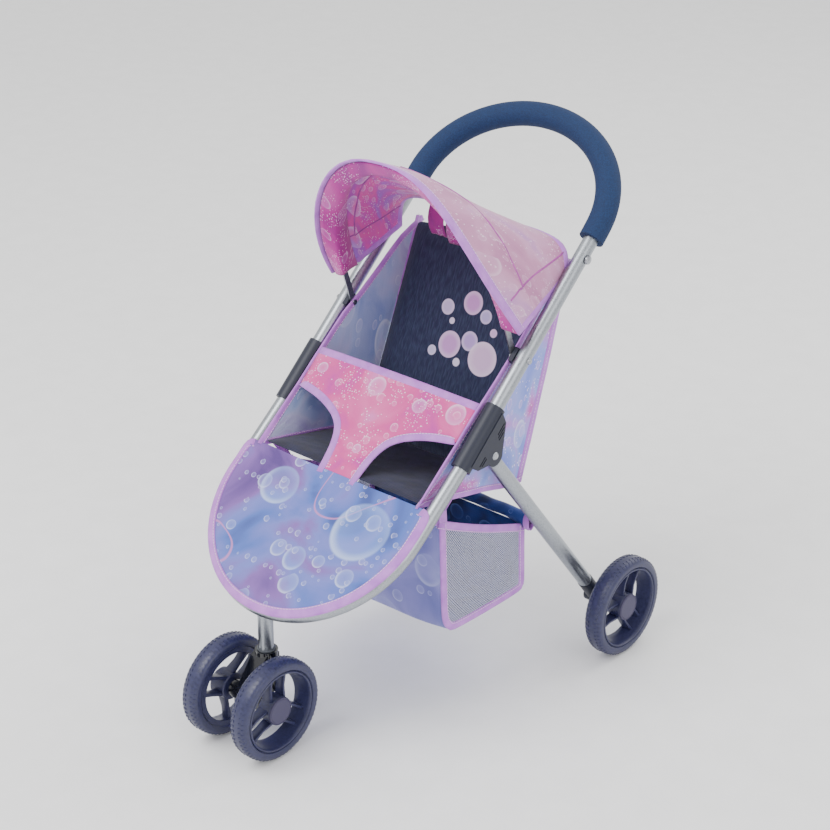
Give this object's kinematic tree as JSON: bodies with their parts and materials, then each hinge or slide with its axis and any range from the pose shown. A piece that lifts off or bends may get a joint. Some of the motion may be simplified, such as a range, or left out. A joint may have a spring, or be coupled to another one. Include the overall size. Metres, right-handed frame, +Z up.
{
  "type": "doll stroller",
  "caption": "Jogger-style doll stroller with a swivelling front caster, folding rear legs, sling seat with tummy panel, footrest, pivoting hood and storage basket.",
  "frame": {"origin": "on the ground, under the middle of the whole stroller's bounding box", "axes": "+Z up, -Y the way the stroller faces and rolls, +X the sitting doll's left side"},
  "size_m": [0.378, 0.536, 0.5757],
  "materials": {
    "tube": "satin",
    "grip_foam": "matte closed-cell foam",
    "hub_plastic": "fine moulded grain",
    "caster_plastic": "gloss",
    "steel": "zinc plated",
    "bush_nylon": "smooth",
    "tyre": "matte",
    "rim_plastic": "satin",
    "cap_plastic": "satin",
    "seat_denim": "slubbed weave",
    "side_print": "printed weave",
    "pink_print": "printed weave",
    "blue_print": "printed weave",
    "basket_print": "printed weave and mesh",
    "webbing": "woven tape"
  },
  "bodies": {
    "frame": {"handle_tube": "tube", "handle_grip": "grip_foam", "front_loop_tube": "tube", "hub_left": "hub_plastic", "hub_right": "hub_plastic", "pivot_rivets": "steel", "front_stem": "tube", "stem_plug": "hub_plastic", "caster_screw": "steel", "caster_washer": "steel", "hood_clip_left": "hub_plastic", "hood_clip_right": "hub_plastic", "hood_pivot_screws": "steel", "hood_studs": "steel", "seat_base": "seat_denim", "seat_back": "seat_denim", "seat_side_left": "side_print", "seat_side_right": "side_print", "tummy_panel": "pink_print", "footrest_panel": "blue_print", "hood": "pink_print", "basket": "basket_print", "basket_front_straps": "webbing"},
    "bow": {"hood_bow": "steel"},
    "rear_legs": {"rear_leg_left": "tube", "rear_leg_right": "tube", "leg_crossbar": "tube", "leg_foot_left": "hub_plastic", "leg_foot_right": "hub_plastic", "rear_axles": "steel", "rear_washers": "steel", "basket_rear_loops": "webbing"},
    "rear_wheel_left": {"rear_tyre_left": "tyre", "rear_rim_left": "rim_plastic", "rear_cap_left": "cap_plastic"},
    "rear_wheel_right": {"rear_tyre_right": "tyre", "rear_rim_right": "rim_plastic", "rear_cap_right": "cap_plastic"},
    "caster": {"caster_housing": "caster_plastic", "caster_bush": "bush_nylon", "front_axle": "steel", "front_spacers": "steel"},
    "front_wheel_left": {"front_tyre_left": "tyre", "front_rim_left": "rim_plastic", "front_cap_left": "cap_plastic"},
    "front_wheel_right": {"front_tyre_right": "tyre", "front_rim_right": "rim_plastic", "front_cap_right": "cap_plastic"}
  },
  "joints": [
    {"name": "rear_leg_fold", "type": "hinge", "parent": "frame", "child": "rear_legs", "pos_m": [0, 0.00967, 0.29031], "axis": [1, 0, 0], "range_deg": [-80, 0], "deforming": ["basket"]},
    {"name": "hood_fold", "type": "hinge", "parent": "frame", "child": "bow", "pos_m": [0, 0.06476, 0.37533], "axis": [1, 0, 0], "range_deg": [-50, 0], "deforming": ["hood"]},
    {"name": "caster_swivel", "type": "hinge", "parent": "frame", "child": "caster", "pos_m": [0, -0.1881, 0.1], "axis": [0, 0, 1], "continuous": true},
    {"name": "rear_wheel_left_spin", "type": "hinge", "parent": "rear_legs", "child": "rear_wheel_left", "pos_m": [0.178, 0.1837, 0.057], "axis": [1, 0, 0], "continuous": true},
    {"name": "rear_wheel_right_spin", "type": "hinge", "parent": "rear_legs", "child": "rear_wheel_right", "pos_m": [-0.178, 0.1837, 0.057], "axis": [1, 0, 0], "continuous": true},
    {"name": "front_wheel_left_spin", "type": "hinge", "parent": "caster", "child": "front_wheel_left", "pos_m": [0.0352, -0.213, 0.055], "axis": [1, 0, 0], "continuous": true},
    {"name": "front_wheel_right_spin", "type": "hinge", "parent": "caster", "child": "front_wheel_right", "pos_m": [-0.0352, -0.213, 0.055], "axis": [1, 0, 0], "continuous": true}
  ]
}
